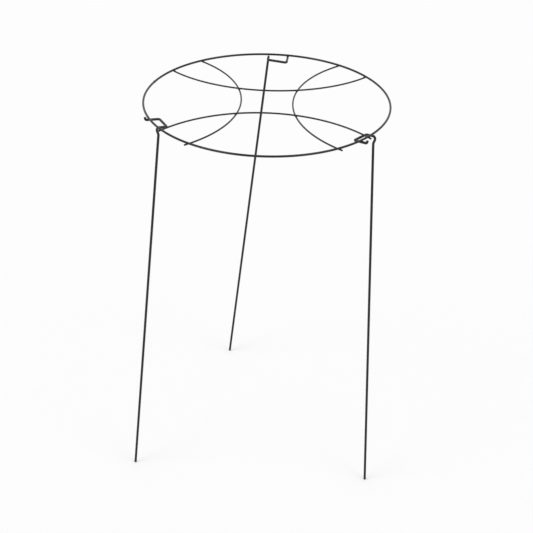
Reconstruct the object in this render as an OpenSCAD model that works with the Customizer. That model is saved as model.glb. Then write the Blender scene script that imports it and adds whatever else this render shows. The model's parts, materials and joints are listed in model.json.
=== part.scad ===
/* [Ring] */
// Diameter of the ring, measured to the middle of its wire
ring_dia = 400; // [340:10:460]
// Thickness of the ring wire
ring_d = 3.6; // [3:0.1:4.5]
// Where the two ends of the ring wire meet, in degrees round the ring
seam_angle = 160; // [120:5:190]
// Thickness of the weld that joins the ends of the ring wire
seam_d = 4.4; // [4.2:0.1:5]
// Length of that weld along the wire
seam_len = 4; // [2:0.5:8]

/* [Inner arcs] */
// Thickness of the arc wire
arc_d = 2.8; // [2.2:0.1:2.9]
// Radius that each arc is bent to
arc_bend_r = 215; // [205:5:240]
// Distance from the ring's middle to the nearest point of a side arc
side_apex = 42; // [36:1:50]
// Distance from the ring's middle to the nearest point of the front or back arc
end_apex = 44; // [36:1:50]
// Turn of the whole arc pattern about the ring's middle
arc_turn = -1.4; // [-3:0.1:0.5]
// Wire left past the middle of the ring wire at each end of an arc
arc_tail = 5; // [4:0.5:8]
// How far two wires sink into each other where they are welded
weld_sink = 0.7; // [0.5:0.1:0.9]
// Thickness of a weld bead between two wires
bead_d = 4; // [3.6:0.1:4.6]

/* [Legs] */
// Thickness of the leg wire
leg_d = 4.2; // [3.6:0.1:4.6]
// Height of the middle of the ring wire above the ground
stand_h = 640; // [420:5:820]
// Distance between the two runs of a hook that pass under the ring
hook_w = 33; // [29:1:37]
// Distance from the inner run of a hook out to the top of its leg
hook_len = 16.5; // [14:0.5:20]
// Distance from the inner run of a hook out to its turned-up end
curl_len = 24.4; // [22:0.2:28]
// Straight length of the turned-up end
curl_end = 1; // [1:0.5:6]
// Bend radius of the hook's corners, to the middle of the wire
hook_bend_r = 3.5; // [3:0.5:4.5]
// Gap between the ring wire and the runs of a hook that pass under it
hook_gap = 0.5; // [0.4:0.1:0.8]
// Straight stub between the top corner of a leg and its kink
stub_len = 0.5; // [0.5:0.5:5]
// Bend radius of the two bends of the kink, to the middle of the wire
kink_r = 6; // [5:0.5:12]
// Straight run between the two bends of the kink
kink_run = 4.5; // [2:0.5:10]

/* [Stance] */
// Distance along the ring from the front arc's left end to the near side of the left leg's hook
left_hook_gap = 16.1; // [8:0.1:40]
// Place of the back leg's hook, in degrees round the ring
back_angle = 84.9; // [70:0.1:105]
// Distance from the ring wire out to the left hook's turned-up end, past the place where they nearly touch
left_slide = 0; // [0:0.5:9]
// Distance from the ring wire out to the right hook's turned-up end, past that place
right_slide = 4.5; // [0:0.5:9]
// Distance from the ring wire out to the back hook's turned-up end, past that place
back_slide = 6; // [0:0.5:9]
// How far the left leg swings out from upright, in degrees
left_splay_angle = 5.6; // [2:0.1:12]
// How far the right leg swings out from upright, in degrees, with its hook below the front arc's end
right_splay_angle = 4.9; // [4:0.1:12]
// How far the back leg swings out from upright, in degrees
back_splay_angle = 1.2; // [0:0.1:12]
// How far the left leg leans along the ring, in degrees, anticlockwise from above
left_lean_angle = 1.3; // [-8:0.1:8]
// How far the right leg leans along the ring, in degrees, with its hook below the front arc's end
right_lean_angle = -3.4; // [-8:0.1:-2]
// How far the back leg leans along the ring, in degrees, anticlockwise from above
back_lean_angle = 5.8; // [-8:0.1:8]

/* [Hidden] */
$fn = 48;
ring_r = ring_dia / 2;
ring_edge = ring_r + ring_d / 2;
wire_grey = "#2e2e30";
bead_grey = "#38383a";

// Angle of each bend of the kink below a hook
kink_angle = 25.23;
square_turn = 90;
half_turn = 180;

// Each arc is part of a circle whose middle lies outside the ring
function arc_centre(apex) = arc_bend_r + apex;
// Half the angle of the arc that lies inside the ring
function arc_half(apex) =
  acos((pow(arc_centre(apex), 2) + pow(arc_bend_r, 2) - pow(ring_r, 2))
    / (2 * arc_centre(apex) * arc_bend_r));
// Distance from the ring's middle to the chord between the arc's two welds
function arc_chord(apex) = arc_centre(apex) - arc_bend_r * cos(arc_half(apex));
// Half the angle between those two welds, seen from the ring's middle
function weld_half(apex) = asin(arc_bend_r * sin(arc_half(apex)) / ring_r);

// The arcs lie under the ring wire, and the front and back arcs rise over the side arcs
arc_drop = (ring_d + arc_d) / 2 - weld_sink;
side_centre = arc_centre(side_apex);
end_centre = arc_centre(end_apex);
centre_gap = norm([side_centre, end_centre]);
cross_part = sqrt(pow(arc_bend_r, 2) - pow(centre_gap / 2, 2)) / centre_gap;
cross_x = side_centre / 2 - end_centre * cross_part;
cross_y = end_centre / 2 - side_centre * cross_part;
end_tilt = asin((arc_d - weld_sink) / (arc_chord(end_apex) - cross_y));
cross_z = -arc_drop + (arc_d - weld_sink) / 2;
end_weld_z = -(ring_d - weld_sink) / 2;

// A hook turns about the straight line between the two places where it passes under the ring wire
hook_r = (ring_d + leg_d) / 2 + hook_gap;
hook_half = hook_w / 2;
hinge_r = sqrt(pow(ring_r, 2) - pow(hook_half, 2));
// The left hook sits past the left end of the front arc, and the right end lies inside the right hook
left_angle = arc_turn - 90 - weld_half(end_apex) - (left_hook_gap + hook_half) / ring_r * 180 / PI;
right_angle = arc_turn - 90 + weld_half(end_apex);
kink_shift = 2 * kink_r * (1 - cos(kink_angle)) + kink_run * sin(kink_angle);
kink_drop = 2 * kink_r * sin(kink_angle) + kink_run * cos(kink_angle);
top_drop = hook_r + hook_bend_r + stub_len + kink_drop;

// Distance from the ring wire in to the inner run of a hook
function reach(slide) = curl_len - hook_r - slide;
// A leaning leg keeps the higher one of its hook's two runs at the ring wire
function lean_pivot(lean) = lean < 0 ? -hook_half : hook_half;
// How far the square-cut end of a leaning leg reaches below its middle
function foot_edge(splay, lean) = leg_d / 2 * sqrt(1 - pow(cos(splay) * cos(lean), 2));
// Where the straight part of a leg lies outside the ring wire, before the leg swings out
function shaft_x(slide) = hook_len - reach(slide) - kink_shift;
// Height of a foot below the ring, in the frame of the leaning leg, at which the foot touches the ground
function foot_drop(slide, splay, lean) =
  ((stand_h - foot_edge(splay, lean) + shaft_x(slide) * sin(splay)) / cos(splay)
    + (hook_half - lean_pivot(lean)) * sin(lean)) / cos(lean);
function shaft_len(slide, splay, lean) = foot_drop(slide, splay, lean) - top_drop;

// Foot of a leg, seen from the middle of the ring
function leaned(p, lean) =
  [p[0], p[1] * cos(lean) - p[2] * sin(lean), p[1] * sin(lean) + p[2] * cos(lean)];
function swung(p, splay) =
  [p[0] * cos(splay) - p[2] * sin(splay), p[1], p[0] * sin(splay) + p[2] * cos(splay)];
function turned(p, a) = [p[0] * cos(a) - p[1] * sin(a), p[0] * sin(a) + p[1] * cos(a), p[2]];
function foot(angle, slide, splay, lean) =
  let (pivot = [0, lean_pivot(lean), 0],
       straight = [shaft_x(slide), hook_half, -foot_drop(slide, splay, lean)])
  turned(swung(leaned(straight - pivot, lean) + pivot, splay) + [hinge_r, 0, 0], angle);

feet = [
  foot(left_angle, left_slide, left_splay_angle, left_lean_angle),
  foot(right_angle, right_slide, right_splay_angle, right_lean_angle),
  foot(back_angle, back_slide, back_splay_angle, back_lean_angle)
];
// The ground under the middle of the outline of ring and feet is the origin
low_x = min(-ring_edge, min([for (f = feet) f[0]]) - leg_d / 2);
high_x = max(ring_edge, max([for (f = feet) f[0]]) + leg_d / 2);
low_y = min(-ring_edge, min([for (f = feet) f[1]]) - leg_d / 2);
high_y = max(ring_edge, max([for (f = feet) f[1]]) + leg_d / 2);
ring_middle = [-(low_x + high_x) / 2, -(low_y + high_y) / 2, stand_h];

// Places its children round the middle of the ring
module on_ring(angle = 0) translate(ring_middle) rotate([0, 0, angle]) children();

module ring() on_ring() color(wire_grey)
  rotate_extrude() translate([ring_r, 0]) circle(d = ring_d);

module ring_seam_weld() on_ring(seam_angle) color(bead_grey) {
  seam_turn = seam_len / ring_r * 180 / PI;
  rotate([0, 0, -seam_turn / 2])
    rotate_extrude(angle = seam_turn) translate([ring_r, 0]) circle(d = seam_d);
}

// One arc, with its nearest point on the +X side of the ring's middle
module arc(apex, tilt, angle) on_ring(angle + arc_turn) color(wire_grey) {
  sweep = arc_half(apex) + arc_tail / arc_bend_r * 180 / PI;
  translate([arc_chord(apex), 0, -arc_drop])
    rotate([0, tilt, 0])
      translate([arc_bend_r * cos(arc_half(apex)), 0, 0])
        rotate([0, 0, 180 - sweep])
          rotate_extrude(angle = 2 * sweep) translate([arc_bend_r, 0]) circle(d = arc_d);
}
module right_arc() arc(side_apex, 0, 0);
module back_arc() arc(end_apex, end_tilt, 90);
module left_arc() arc(side_apex, 0, 180);
module front_arc() arc(end_apex, end_tilt, -90);

// Weld where an arc passes under the ring, on one side of the arc's own direction
module end_weld(apex, angle, side) on_ring(angle + arc_turn + side * weld_half(apex))
  color(bead_grey) translate([ring_r, 0, end_weld_z]) sphere(d = bead_d);
module right_arc_front_weld() end_weld(side_apex, 0, -1);
module right_arc_back_weld() end_weld(side_apex, 0, 1);
module back_arc_right_weld() end_weld(end_apex, 90, -1);
module back_arc_left_weld() end_weld(end_apex, 90, 1);
module left_arc_back_weld() end_weld(side_apex, 180, -1);
module left_arc_front_weld() end_weld(side_apex, 180, 1);
module front_arc_left_weld() end_weld(end_apex, -90, -1);
module front_arc_right_weld() end_weld(end_apex, -90, 1);

// Weld where a front or back arc crosses a side arc
module crossing_weld(x_side, y_side) on_ring(arc_turn) color(bead_grey)
  translate([x_side * cross_x, y_side * cross_y, cross_z]) sphere(d = bead_d);
module front_left_crossing_weld() crossing_weld(-1, -1);
module front_right_crossing_weld() crossing_weld(1, -1);
module back_left_crossing_weld() crossing_weld(-1, 1);
module back_right_crossing_weld() crossing_weld(1, 1);

// A straight run of leg wire along +Z, with what follows it placed at its end
module run(len) {
  cylinder(d = leg_d, h = len);
  translate([0, 0, len]) children();
}
// A bend of leg wire from +Z towards +X, turned about the wire by roll
module bend(r, angle, roll = 0) rotate([0, 0, roll]) {
  translate([r, 0, 0])
    rotate([90, 0, 180])
      rotate_extrude(angle = angle) translate([r, 0]) circle(d = leg_d);
  translate([r, 0, 0]) rotate([0, angle, 0]) translate([-r, 0, 0]) children();
}
// Leans a leg along the ring, about the higher one of its hook's two runs
module leaning(lean) translate([0, lean_pivot(lean), 0]) rotate([lean, 0, 0])
  translate([0, -lean_pivot(lean), 0]) children();
// One leg, bent from one length of wire, from the middle of its hook's inner run outwards
module leg(angle, slide, splay, lean) on_ring(angle) color(wire_grey)
  translate([hinge_r, 0, 0]) rotate([0, -splay, 0]) leaning(lean) translate([-reach(slide), 0, -hook_r]) {
    inner_half = hook_half - hook_bend_r;
    rotate([-square_turn, 0, 0])
      run(inner_half)
        bend(hook_bend_r, square_turn)
          run(hook_len - 2 * hook_bend_r)
            bend(hook_bend_r, square_turn, square_turn)
              run(stub_len)
                bend(kink_r, kink_angle)
                  run(kink_run)
                    bend(kink_r, kink_angle, half_turn)
                      run(shaft_len(slide, splay, lean));
    rotate([square_turn, 0, 0])
      run(inner_half)
        bend(hook_bend_r, square_turn)
          run(curl_len - 2 * hook_bend_r)
            bend(hook_bend_r, square_turn, square_turn)
              run(curl_end);
  }
module left_leg() leg(left_angle, left_slide, left_splay_angle, left_lean_angle);
module right_leg() leg(right_angle, right_slide, right_splay_angle, right_lean_angle);
module back_leg() leg(back_angle, back_slide, back_splay_angle, back_lean_angle);

ring();
ring_seam_weld();
left_arc();
right_arc();
front_arc();
back_arc();
left_arc_front_weld();
left_arc_back_weld();
right_arc_front_weld();
right_arc_back_weld();
front_arc_left_weld();
front_arc_right_weld();
back_arc_left_weld();
back_arc_right_weld();
front_left_crossing_weld();
front_right_crossing_weld();
back_left_crossing_weld();
back_right_crossing_weld();
left_leg();
right_leg();
back_leg();
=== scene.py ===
# %% [markdown]
# # A wire plant support
# The object is a flat wire ring with four bent wires inside it, on three wire legs that hook
# onto the ring. The solids are already made at real size, in metres, so this lesson loads
# them as a fixed frame and adds what the solids leave out: the coat on the wire, the lumps of
# the welds, the rounded cut ends, and a plain studio around it.

# %% Load the solids and note the box they fill
import json
from math import cos, degrees, pi, radians, sin

import bmesh
import bpy
from mathutils import Matrix, Vector, noise


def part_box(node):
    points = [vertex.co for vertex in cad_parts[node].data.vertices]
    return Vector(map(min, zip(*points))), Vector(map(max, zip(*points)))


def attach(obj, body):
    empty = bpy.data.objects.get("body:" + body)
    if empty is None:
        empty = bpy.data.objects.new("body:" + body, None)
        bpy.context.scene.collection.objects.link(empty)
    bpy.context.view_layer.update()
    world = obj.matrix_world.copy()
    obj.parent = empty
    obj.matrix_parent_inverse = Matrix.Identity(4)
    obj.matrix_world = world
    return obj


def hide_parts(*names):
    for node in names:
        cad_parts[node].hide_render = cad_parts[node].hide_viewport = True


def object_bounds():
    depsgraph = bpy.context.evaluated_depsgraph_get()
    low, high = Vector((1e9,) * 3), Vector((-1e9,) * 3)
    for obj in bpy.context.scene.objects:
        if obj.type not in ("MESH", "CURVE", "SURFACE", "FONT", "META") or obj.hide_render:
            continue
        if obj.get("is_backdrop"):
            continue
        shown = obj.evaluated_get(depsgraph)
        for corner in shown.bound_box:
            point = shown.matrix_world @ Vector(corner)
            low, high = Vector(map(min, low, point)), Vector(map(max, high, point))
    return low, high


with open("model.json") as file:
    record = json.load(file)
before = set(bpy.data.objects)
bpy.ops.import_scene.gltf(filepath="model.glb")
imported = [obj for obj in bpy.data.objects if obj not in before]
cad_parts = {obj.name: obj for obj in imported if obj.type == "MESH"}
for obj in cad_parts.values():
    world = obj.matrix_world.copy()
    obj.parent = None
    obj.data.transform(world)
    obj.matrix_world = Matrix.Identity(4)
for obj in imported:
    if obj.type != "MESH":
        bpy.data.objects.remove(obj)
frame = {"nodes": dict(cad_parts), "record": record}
nodes = frame["nodes"]
cad_low, cad_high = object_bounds()

# %% [markdown]
# ## The camera
# A photograph of a ring shows an ellipse, and the shape of that ellipse gives the height of
# the camera. A camera can be moved by hand until the outlines agree, but a fit comes closer,
# so the values here were fitted to the ring and the feet. The camera is placed from the
# middle of the ring, looks at it, and is then turned a little to set the framing. A long lens
# keeps the near and far side of the ring almost the same size.

# %% Look at the middle of the ring
CAMERA_DISTANCE = 2.2452
CAMERA_HEIGHT_ANGLE = radians(24.1372)

ring_low, ring_high = (Vector(corner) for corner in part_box("ring"))
ring_middle = (ring_low + ring_high) / 2
offset = Vector((0, -cos(CAMERA_HEIGHT_ANGLE), sin(CAMERA_HEIGHT_ANGLE))) * CAMERA_DISTANCE
ahead = -offset.normalized()
right = Vector((1, 0, 0))
up = right.cross(ahead)
print("ring's middle at", tuple(round(v, 3) for v in ring_middle))

# %% Turn the view by yaw, pitch and roll
CAMERA_YAW = radians(0.1455)
CAMERA_PITCH = radians(-6.8437)
CAMERA_ROLL = radians(1.3918)


def turned(first, second, angle):
    return (first * cos(angle) + second * sin(angle), second * cos(angle) - first * sin(angle))


ahead, right = turned(ahead, right, CAMERA_YAW)
ahead, up = turned(ahead, up, CAMERA_PITCH)
right, up = turned(right, up, CAMERA_ROLL)
print("looks along", tuple(round(v, 3) for v in ahead))

# %% Set the lens and put the camera there
FOCAL_PIXELS = 1375.0
FRAME_PIXELS = 533.0
SENSOR_MM = 36.0

lens = bpy.data.cameras.new("studio_camera")
lens.sensor_width = SENSOR_MM
lens.lens = FOCAL_PIXELS / FRAME_PIXELS * SENSOR_MM
camera = bpy.data.objects.new("studio_camera", lens)
bpy.context.scene.collection.objects.link(camera)
turn = Matrix((right, up, -ahead)).transposed()
camera.matrix_world = Matrix.Translation(ring_middle + offset) @ turn.to_4x4()
bpy.context.scene.camera = camera
print("camera at", tuple(round(v, 3) for v in camera.location), "lens", round(lens.lens, 2))

# %% [markdown]
# ## The coat on the wire
# The wire is steel under a baked coat of charcoal powder paint. Such a coat is almost black
# with a soft gloss: where a wire runs away from the viewer, as at both sides of the ring, it
# mirrors the pale background at a flat angle and looks grey. A plain Principled shader gives
# that gloss by itself. The welds get a coat of their own, because paint lies thicker and
# rougher there.

# %% Start a coat for the wire and one for the welds
PAINT_MIRROR = 0.36


def new_coat(name):
    coat = bpy.data.materials.new(name)
    coat.use_nodes = True
    paint = coat.node_tree.nodes["Principled BSDF"]
    paint.inputs["Specular IOR Level"].default_value = PAINT_MIRROR
    return coat


wire_coat = new_coat("charcoal_wire_coat")
weld_coat = new_coat("charcoal_weld_coat")
print("coats", wire_coat.name, weld_coat.name)

# %% [markdown]
# ## Lighter and darker patches
# The coat isn't equally thick all over, so soft patches of it are a little lighter or darker.
# They could be painted on an image, but that needs an unwrapped wire and blurs close up.
# Noise on Object coordinates needs neither, and a metre there is a metre on the object: a
# scale of 120 is a patch about every 8 millimetres. A colour ramp turns the noise into tones.

# %% Colour both coats in soft patches
PATCHES_PER_METRE = 120.0
PATCH_RANGE = (0.3, 0.72)


def add_node(tree, kind, **values):
    made = tree.nodes.new(kind)
    for key, value in values.items():
        if key in made.inputs:
            made.inputs[key].default_value = value
        else:
            setattr(made, key, value)
    return made


def join(tree, source, out, target, into):
    tree.links.new(source.outputs[out], target.inputs[into])


def patchy_colour(coat, deep, pale):
    tree = coat.node_tree
    place = add_node(tree, "ShaderNodeTexCoord")
    patches = add_node(tree, "ShaderNodeTexNoise", Scale=PATCHES_PER_METRE, Detail=4.0,
                       Roughness=0.6)
    tones = add_node(tree, "ShaderNodeValToRGB")
    for stop, position, tone in zip(tones.color_ramp.elements, PATCH_RANGE, (deep, pale)):
        stop.position = position
        stop.color = (*tone, 1)
    join(tree, place, "Object", patches, "Vector")
    join(tree, patches, "Fac", tones, "Fac")
    join(tree, tones, "Color", tree.nodes["Principled BSDF"], "Base Color")


patchy_colour(wire_coat, deep=(0.003, 0.0024, 0.002), pale=(0.0088, 0.0072, 0.0062))
patchy_colour(weld_coat, deep=(0.0045, 0.0038, 0.0034), pale=(0.0115, 0.0098, 0.0088))
print("a patch about every", round(1 / PATCHES_PER_METRE, 4), "m")

# %% [markdown]
# ## Orange peel
# Close up, powder paint has a fine orange peel, where the powder ran together in the oven.
# It is far too fine for the mesh, so a second noise, with a bump about every millimetre, goes
# into a Bump node. The same noise also varies the roughness, so the gloss breaks up with the
# peel.

# %% Give both coats their peel
PEEL_PER_METRE = 900.0
PEEL_STRENGTH = 0.8


def orange_peel(coat, depth, rough_low, rough_high):
    tree = coat.node_tree
    paint = tree.nodes["Principled BSDF"]
    place = add_node(tree, "ShaderNodeTexCoord")
    peel = add_node(tree, "ShaderNodeTexNoise", Scale=PEEL_PER_METRE, Detail=3.0,
                    Roughness=0.55)
    bump = add_node(tree, "ShaderNodeBump", Strength=PEEL_STRENGTH, Distance=depth)
    join(tree, place, "Object", peel, "Vector")
    join(tree, peel, "Fac", bump, "Height")
    join(tree, bump, "Normal", paint, "Normal")
    sheen = add_node(tree, "ShaderNodeMapRange")
    sheen.inputs["To Min"].default_value = rough_low
    sheen.inputs["To Max"].default_value = rough_high
    join(tree, peel, "Fac", sheen, "Value")
    join(tree, sheen, "Result", paint, "Roughness")


orange_peel(wire_coat, depth=0.00009, rough_low=0.12, rough_high=0.26)
orange_peel(weld_coat, depth=0.0002, rough_low=0.3, rough_high=0.45)
print("a bump about every", round(1 / PEEL_PER_METRE, 4), "m")

# %% Coat the ring, the arcs and the legs
wires = [name for name in nodes if not name.endswith("weld")]
for name in wires:
    slots = nodes[name].data.materials
    slots.clear()
    slots.append(wire_coat)
print("coated", len(wires), "wires")

# %% [markdown]
# ## How a new piece is made
# Every new piece is a bmesh, Blender's editable mesh, that is turned into an object at the
# origin, with its place in its mesh. The object could be moved there instead, but then a
# pattern on Object coordinates would move along. A piece rides on one of the solids' bodies,
# so that it swings with a leg or stays with the ring.

# %% A helper for pieces, and the body of every solid
def make_piece(name, bm, body, coat):
    bmesh.ops.recalc_face_normals(bm, faces=bm.faces[:])
    for face in bm.faces:
        face.smooth = True
    mesh = bpy.data.meshes.new(name)
    bm.to_mesh(mesh)
    bm.free()
    mesh.materials.append(coat)
    piece = bpy.data.objects.new(name, mesh)
    bpy.context.scene.collection.objects.link(piece)
    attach(piece, body)
    return piece


body_of_node = {node: body for body, members in frame["record"]["behaviour"]["bodies"].items()
                for node in members}

# %% [markdown]
# ## The welds
# Where two wires cross, they are pressed together with a current through them, and a little
# metal runs out into the corners. That makes a low, uneven lump between the two wires, under
# the same coat. One lump could be sculpted, but there are twelve, so a function makes them: a
# ball from bmesh is flattened and stretched along both wires, and then each vertex is pushed
# in or out by a noise. The noise is read at the vertex's own place, so no two are alike.

# %% Put an uneven lump at every crossing
LUMP_REACH = 0.00235
LUMP_HEIGHT = 0.0019
LUMP_SEGMENTS = 36
LUMP_RINGS = 24
DENT_DEPTH = 0.00022
DENTS_PER_METRE = 620.0


def weld_lump(node_name):
    low, high = (Vector(corner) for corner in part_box(node_name))
    middle = (low + high) / 2
    bm = bmesh.new()
    bmesh.ops.create_uvsphere(bm, u_segments=LUMP_SEGMENTS, v_segments=LUMP_RINGS, radius=1)
    bmesh.ops.scale(bm, vec=(LUMP_REACH, LUMP_REACH, LUMP_HEIGHT), verts=bm.verts[:])
    bmesh.ops.translate(bm, vec=middle, verts=bm.verts[:])
    for vert in bm.verts:
        outward = (vert.co - middle).normalized()
        vert.co += outward * noise.noise(vert.co * DENTS_PER_METRE) * DENT_DEPTH
    lump = make_piece(node_name + "_lump", bm, "top", weld_coat)
    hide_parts(node_name)


crossings = [name for name in nodes if name.endswith("weld") and name != "ring_seam_weld"]
for name in crossings:
    weld_lump(name)
print("made", len(crossings), "weld lumps")

# %% [markdown]
# ## The seam of the ring
# The ring is one wire bent to a circle, and its two ends are welded butt to butt. The joint
# leaves a slightly thicker collar. A straight tube would stand off the curved wire, so a
# small circle of vertices, set on the wire, is spun round the ring's own axis instead. Its
# rows are then swollen towards the middle of the collar.

# %% Measure the ring and the place of its seam
ring_wire_radius = (ring_high.z - ring_low.z) / 2
ring_radius = (ring_high.x - ring_low.x) / 2 - ring_wire_radius
seam_low, seam_high = (Vector(corner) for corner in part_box("ring_seam_weld"))
to_seam = (seam_low + seam_high) / 2 - ring_middle
seam_angle = -Vector((1, 0)).angle_signed(to_seam.to_2d())
print("seam at", round(degrees(seam_angle), 1), "degrees, radius", round(ring_radius, 4), "m")

# %% Spin the collar on the ring
SEAM_LENGTH = 0.0042
SEAM_ROWS = 14
SEAM_CORNERS = 32
SEAM_SUNK = 0.985

seam_turn = SEAM_LENGTH / ring_radius
upright = Matrix.Rotation(pi / 2, 3, "X")
to_start = Matrix.Rotation(seam_angle - seam_turn / 2, 3, "Z")
bm = bmesh.new()
bmesh.ops.create_circle(bm, cap_ends=False, segments=SEAM_CORNERS,
                        radius=ring_wire_radius * SEAM_SUNK)
bmesh.ops.rotate(bm, cent=(0, 0, 0), matrix=upright, verts=bm.verts[:])
bmesh.ops.translate(bm, vec=(ring_radius, 0, 0), verts=bm.verts[:])
bmesh.ops.rotate(bm, cent=(0, 0, 0), matrix=to_start, verts=bm.verts[:])
bmesh.ops.spin(bm, geom=bm.edges[:], cent=(0, 0, 0), axis=(0, 0, 1), angle=seam_turn,
               steps=SEAM_ROWS, use_merge=False, use_duplicate=False)
bmesh.ops.holes_fill(bm, edges=[edge for edge in bm.edges if edge.is_boundary], sides=0)
print("spun", len(bm.verts), "vertices in", SEAM_ROWS, "steps")

# %% Swell its middle and seat it
SEAM_SWELL = 0.00042
SEAM_DENT_SHARE = 0.4

seam_way = Vector((cos(seam_angle), sin(seam_angle)))
for vert in bm.verts:
    flat = Vector((vert.co.x, vert.co.y, 0))
    along = flat.to_2d().angle_signed(seam_way) * ring_radius / (SEAM_LENGTH / 2)
    heart = flat.normalized() * ring_radius
    bulge = max(0.0, 1 - along * along)
    dent = noise.noise(vert.co * DENTS_PER_METRE) * DENT_DEPTH * SEAM_DENT_SHARE
    vert.co += (vert.co - heart).normalized() * ((SEAM_SWELL + dent) * bulge)
bmesh.ops.translate(bm, vec=ring_middle, verts=bm.verts[:])
collar = make_piece("ring_seam_collar", bm, "top", weld_coat)
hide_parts("ring_seam_weld")
print("collar of", len(collar.data.polygons), "faces")

# %% [markdown]
# ## The cut ends
# Each wire is sheared to length before it is coated, and the coat rounds the sharp edge of
# the cut. A bevel on the wire would do that too, but the solids stay as they are, so a small
# cap is spun from an outline and set over each end. The places are measured on the solids. A
# limited dissolve on a merged copy of a wire joins the triangles that lie in one plane, so
# each cut end becomes one flat face with many corners, all one wire radius from its middle.

# %% Find the flat ends of every wire
SAME_PLACE = 1e-6
FLAT_ANGLE = radians(0.5)
END_CORNERS = 12
WIDEST_WIRE = 0.003
ROUND_SHARE = 0.95


def flat_ends(mesh):
    bm = bmesh.new()
    bm.from_mesh(mesh)
    bmesh.ops.remove_doubles(bm, verts=bm.verts[:], dist=SAME_PLACE)
    bmesh.ops.dissolve_limit(bm, angle_limit=FLAT_ANGLE, verts=bm.verts[:], edges=bm.edges[:])
    ends = []
    for face in bm.faces:
        middle = face.calc_center_bounds()
        reaches = [(vert.co - middle).length for vert in face.verts]
        is_round = min(reaches) > ROUND_SHARE * max(reaches)
        if len(reaches) >= END_CORNERS and max(reaches) < WIDEST_WIRE and is_round:
            ends.append((middle.copy(), face.normal.copy(), max(reaches)))
    bm.free()
    return ends


ends_of_wire = {name: flat_ends(nodes[name].data) for name in wires}
print("flat ends", {name: len(ends) for name, ends in ends_of_wire.items()})

# %% Round every cut end
# The outline runs from inside the wire to the top of the dome: across and along the wire, in
# wire radii.
TIP_OUTLINE = [(0, -0.8), (0.9, -0.8), (1, -0.48), (1, -0.12), (0.93, 0.02), (0.72, 0.124),
               (0.4, 0.18), (0, 0.2)]
TIP_STEPS = 36
TIP_MERGE = 1e-7
COAT_SKIN = 0.00004


def rounded_tip(name, body, middle, outward, wire_radius):
    skin = wire_radius + COAT_SKIN
    bm = bmesh.new()
    row = [bm.verts.new((across * skin, 0, along * wire_radius)) for across, along in TIP_OUTLINE]
    edges = [bm.edges.new(pair) for pair in zip(row, row[1:])]
    bmesh.ops.spin(bm, geom=row + edges, cent=(0, 0, 0), axis=(0, 0, 1), angle=2 * pi,
                   steps=TIP_STEPS, use_merge=True, use_duplicate=False)
    bmesh.ops.remove_doubles(bm, verts=bm.verts[:], dist=TIP_MERGE)
    turn = Vector((0, 0, 1)).rotation_difference(outward).to_matrix().to_4x4()
    bmesh.ops.transform(bm, matrix=Matrix.Translation(middle) @ turn, verts=bm.verts[:])
    tip = make_piece(name, bm, body, wire_coat)
    return tip


tips = [rounded_tip(f"{name}_tip_{number}", body_of_node[name], *end)
        for name, ends in ends_of_wire.items() for number, end in enumerate(ends, 1)]
print("rounded", len(tips), "cut ends")

# %% [markdown]
# ## The floor
# The object stands on a plain white floor that runs out of sight. A floor that is only lit
# comes out grey, and more light would bleach the object. So what the camera and the
# reflections see of the floor has a share of steady white mixed in, and the lit share that is
# left holds the soft shadows at the feet. The Light Path node tells those rays apart from the
# rays that carry light onto the object.

# %% Lay the floor under the lowest point
FLOOR_RADIUS = 30.0
FLOOR_CORNERS = 96
MM_IN_METRE = 1000

floor_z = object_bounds()[0].z
bm = bmesh.new()
bmesh.ops.create_circle(bm, cap_ends=True, segments=FLOOR_CORNERS, radius=FLOOR_RADIUS)
bmesh.ops.translate(bm, vec=(0, 0, floor_z), verts=bm.verts[:])
floor_mesh = bpy.data.meshes.new("studio_floor")
bm.to_mesh(floor_mesh)
bm.free()
floor = bpy.data.objects.new("studio_floor", floor_mesh)
bpy.context.scene.collection.objects.link(floor)
floor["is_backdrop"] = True
print("floor at", round(floor_z * MM_IN_METRE, 3), "mm")

# %% A white that still takes a shadow
FLOOR_LIT_SHARE = 0.7
FLOOR_PALE = 0.96


def seen_rays(tree):
    path = add_node(tree, "ShaderNodeLightPath")
    mirrored = add_node(tree, "ShaderNodeMath", operation="MAXIMUM")
    join(tree, path, "Is Glossy Ray", mirrored, 0)
    join(tree, path, "Is Transmission Ray", mirrored, 1)
    seen = add_node(tree, "ShaderNodeMath", operation="MAXIMUM")
    join(tree, path, "Is Camera Ray", seen, 0)
    join(tree, mirrored, "Value", seen, 1)
    return seen


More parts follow.
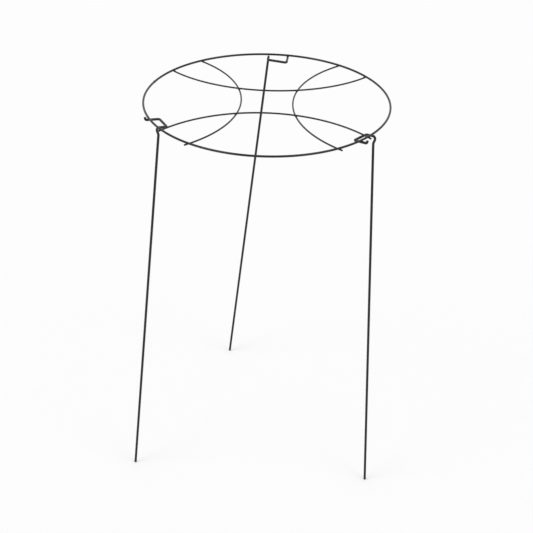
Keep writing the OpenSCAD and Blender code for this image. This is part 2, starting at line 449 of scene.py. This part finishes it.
floor_paint = bpy.data.materials.new("studio_white")
floor_paint.use_nodes = True
tree = floor_paint.node_tree
tree.nodes.remove(tree.nodes["Principled BSDF"])
lit = add_node(tree, "ShaderNodeBsdfDiffuse", Color=(FLOOR_PALE, FLOOR_PALE, FLOOR_PALE, 1))
steady = add_node(tree, "ShaderNodeEmission", Color=(1, 1, 1, 1), Strength=1.0)
blend = add_node(tree, "ShaderNodeMixShader")
share = add_node(tree, "ShaderNodeMapRange")
share.inputs["To Max"].default_value = 1 - FLOOR_LIT_SHARE
join(tree, seen_rays(tree), "Value", share, "Value")
join(tree, share, "Result", blend, "Fac")
join(tree, lit, "BSDF", blend, 1)
join(tree, steady, "Emission", blend, 2)
join(tree, blend, "Shader", tree.nodes["Material Output"], "Surface")
floor_mesh.materials.append(floor_paint)
print("lit share of the floor", FLOOR_LIT_SHARE)

# %% [markdown]
# ## The light
# The picture has a bright, even studio light. A white world gives most of it. Two broad, soft
# lamps stand in front, one on each side, because each foot has a short faint shadow on both
# sides. The left one is the stronger. Area lamps would leave the far floor darker. Sun lamps
# light the whole floor equally, and a wide angle makes them as soft as a large diffuser.

# %% A white world
WORLD_LIGHT = 0.66

world = bpy.data.worlds.new("studio_world")
bpy.context.scene.world = world
world.use_nodes = True
tree = world.node_tree
sky = tree.nodes["Background"]
sky.inputs["Color"].default_value = (1, 1, 1, 1)
level = add_node(tree, "ShaderNodeMapRange")
level.inputs["To Min"].default_value = WORLD_LIGHT
level.inputs["To Max"].default_value = 1.0
join(tree, seen_rays(tree), "Value", level, "Value")
join(tree, level, "Result", sky, "Strength")
print("world light", WORLD_LIGHT)

# %% Two broad lamps
LAMP_ANGLE = radians(35)
LAMP_AWAY = 2
LAMPS = {"left_lamp": ((-0.91, -0.41, 1.2), 0.85), "right_lamp": ((0.83, -0.56, 1.2), 0.6)}

for name, (toward, strength) in LAMPS.items():
    glow = bpy.data.lights.new(name, "SUN")
    glow.energy = strength
    glow.angle = LAMP_ANGLE
    lamp = bpy.data.objects.new(name, glow)
    lamp.location = Vector(toward) * LAMP_AWAY
    lamp.rotation_mode = "QUATERNION"
    lamp.rotation_quaternion = (-Vector(toward)).to_track_quat("-Z", "Y")
    bpy.context.scene.collection.objects.link(lamp)
bpy.context.scene.view_settings.view_transform = "Standard"
print("lamps", {name: strength for name, (toward, strength) in LAMPS.items()})

# %% [markdown]
# ## The last check
# The dressed object should keep the size of its solids, so how much its box has grown
# is printed.

# %% Write the sizes and finish
new_low, new_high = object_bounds()
growth = (new_high - new_low) - (cad_high - cad_low)
print("grown by", [round(side * MM_IN_METRE, 2) for side in growth], "mm")
